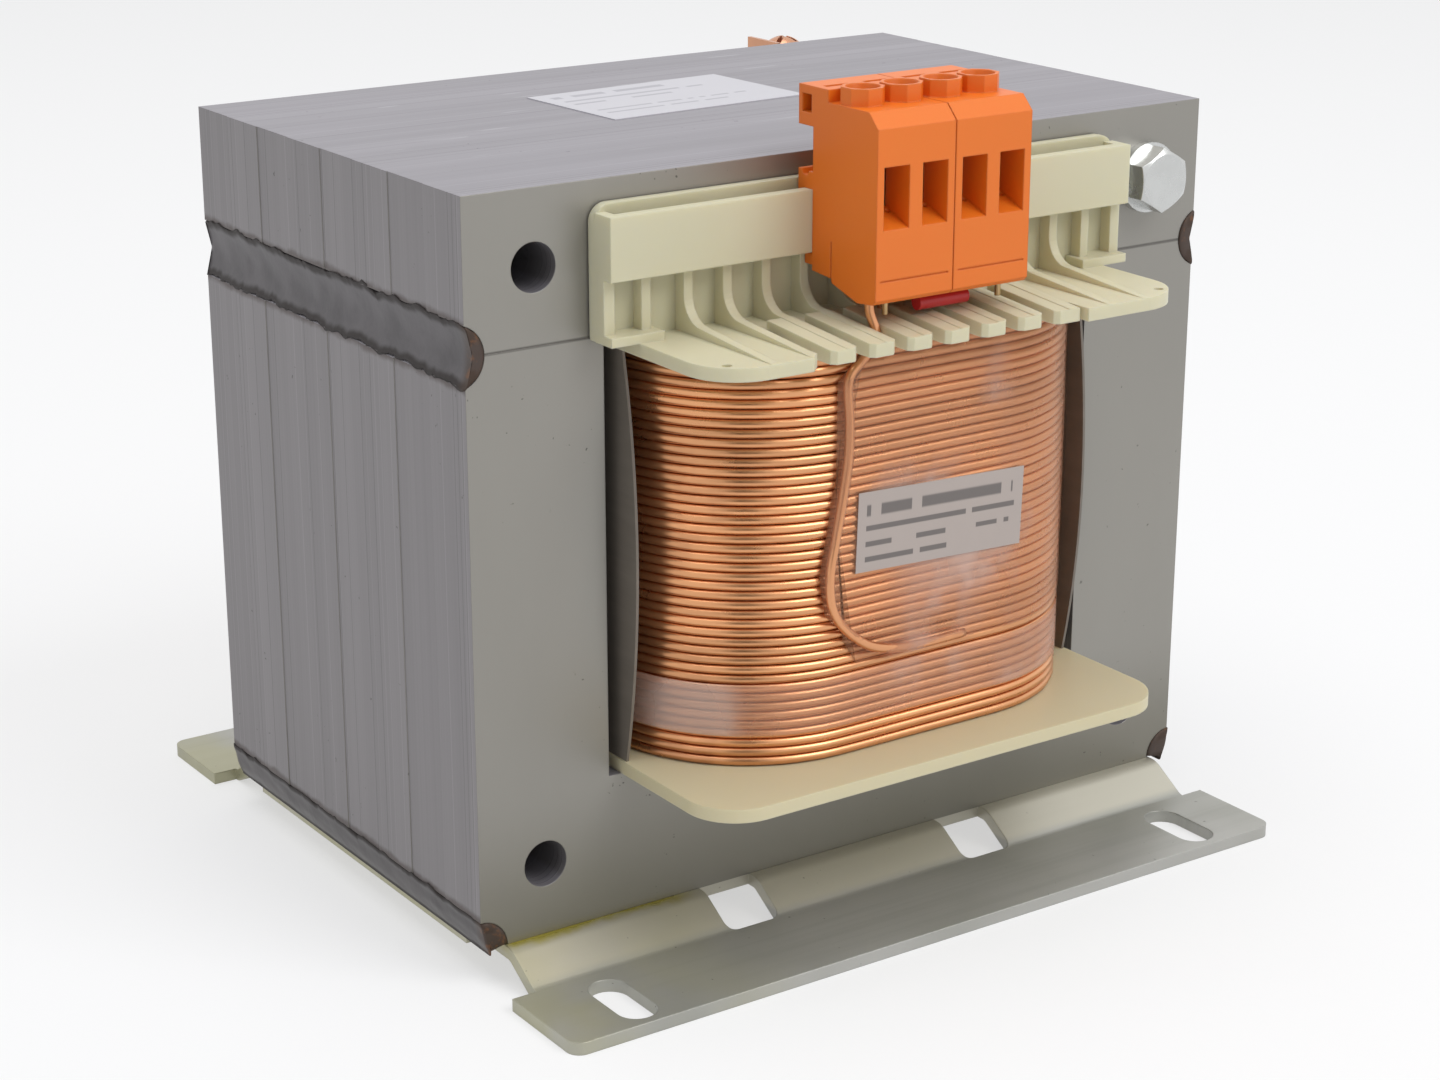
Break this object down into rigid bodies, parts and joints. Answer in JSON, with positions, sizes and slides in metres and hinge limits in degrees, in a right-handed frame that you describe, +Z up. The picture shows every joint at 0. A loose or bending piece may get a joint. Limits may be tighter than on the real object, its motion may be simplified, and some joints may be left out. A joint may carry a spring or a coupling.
{
  "type": "laminated chassis transformer",
  "caption": "Single-phase EI-core power transformer with a folded base plate, moulded former and screw terminal block.",
  "frame": {"origin": "on the mounting plane, under the middle of the core", "axes": "+Z up from the mounting plane, +X along the core's width, -Y towards the terminal end"},
  "size_m": [0.15, 0.1504, 0.1441],
  "materials": {
    "core_steel": "rolled electrical sheet, satin",
    "yoke_steel": "rolled electrical sheet, satin",
    "weld": "oxidised weld bead",
    "plate_steel": "bare folded sheet",
    "former": "natural glass-filled nylon",
    "copper_wire": "enamelled copper wire",
    "inner_copper": "enamelled copper wire",
    "insulation": "insulating paper",
    "film": "clear film",
    "liner": "calendered insulating sheet",
    "terminal_orange": "moulded polyamide",
    "terminal_metal": "plated steel",
    "pin_metal": "tinned brass",
    "red_plastic": "soft sleeve",
    "zinc_steel": "bright zinc",
    "bracket_steel": "zinc plated",
    "earth_copper": "copper plated",
    "label": "bare label stock"
  },
  "bodies": {
    "root": {"e_lamination_stack": "core_steel", "i_lamination_stack": "yoke_steel", "seam_weld_left": "weld", "seam_weld_right": "weld", "base_weld_left": "weld", "base_weld_right": "weld", "base_plate": "plate_steel", "bobbin": "former", "primary_winding": "inner_copper", "interlayer_insulation": "insulation", "secondary_winding": "copper_wire", "binding_tape": "film", "cover_film": "film", "window_liner_left": "liner", "window_liner_right": "liner", "terminal_block_left": "terminal_orange", "terminal_block_right": "terminal_orange", "red_sleeve": "red_plastic", "earth_bolt": "zinc_steel", "bolt_washer_front": "zinc_steel", "bolt_washer_rear": "zinc_steel", "bolt_nut": "zinc_steel", "earth_bracket": "bracket_steel", "earth_screw": "earth_copper", "earth_screw_nut": "zinc_steel", "earth_clamp_washer": "earth_copper", "top_label": "label", "coil_label": "label", "clamp_cage_1": "terminal_metal", "clamp_screw_1": "terminal_metal", "solder_pin_1": "pin_metal", "lead_wire_1": "copper_wire", "clamp_cage_2": "terminal_metal", "clamp_screw_2": "terminal_metal", "solder_pin_2": "pin_metal", "lead_wire_2": "copper_wire", "clamp_cage_3": "terminal_metal", "clamp_screw_3": "terminal_metal", "solder_pin_3": "pin_metal", "lead_wire_3": "copper_wire", "clamp_cage_4": "terminal_metal", "clamp_screw_4": "terminal_metal", "solder_pin_4": "pin_metal", "lead_wire_4": "copper_wire"}
  },
  "joints": []
}
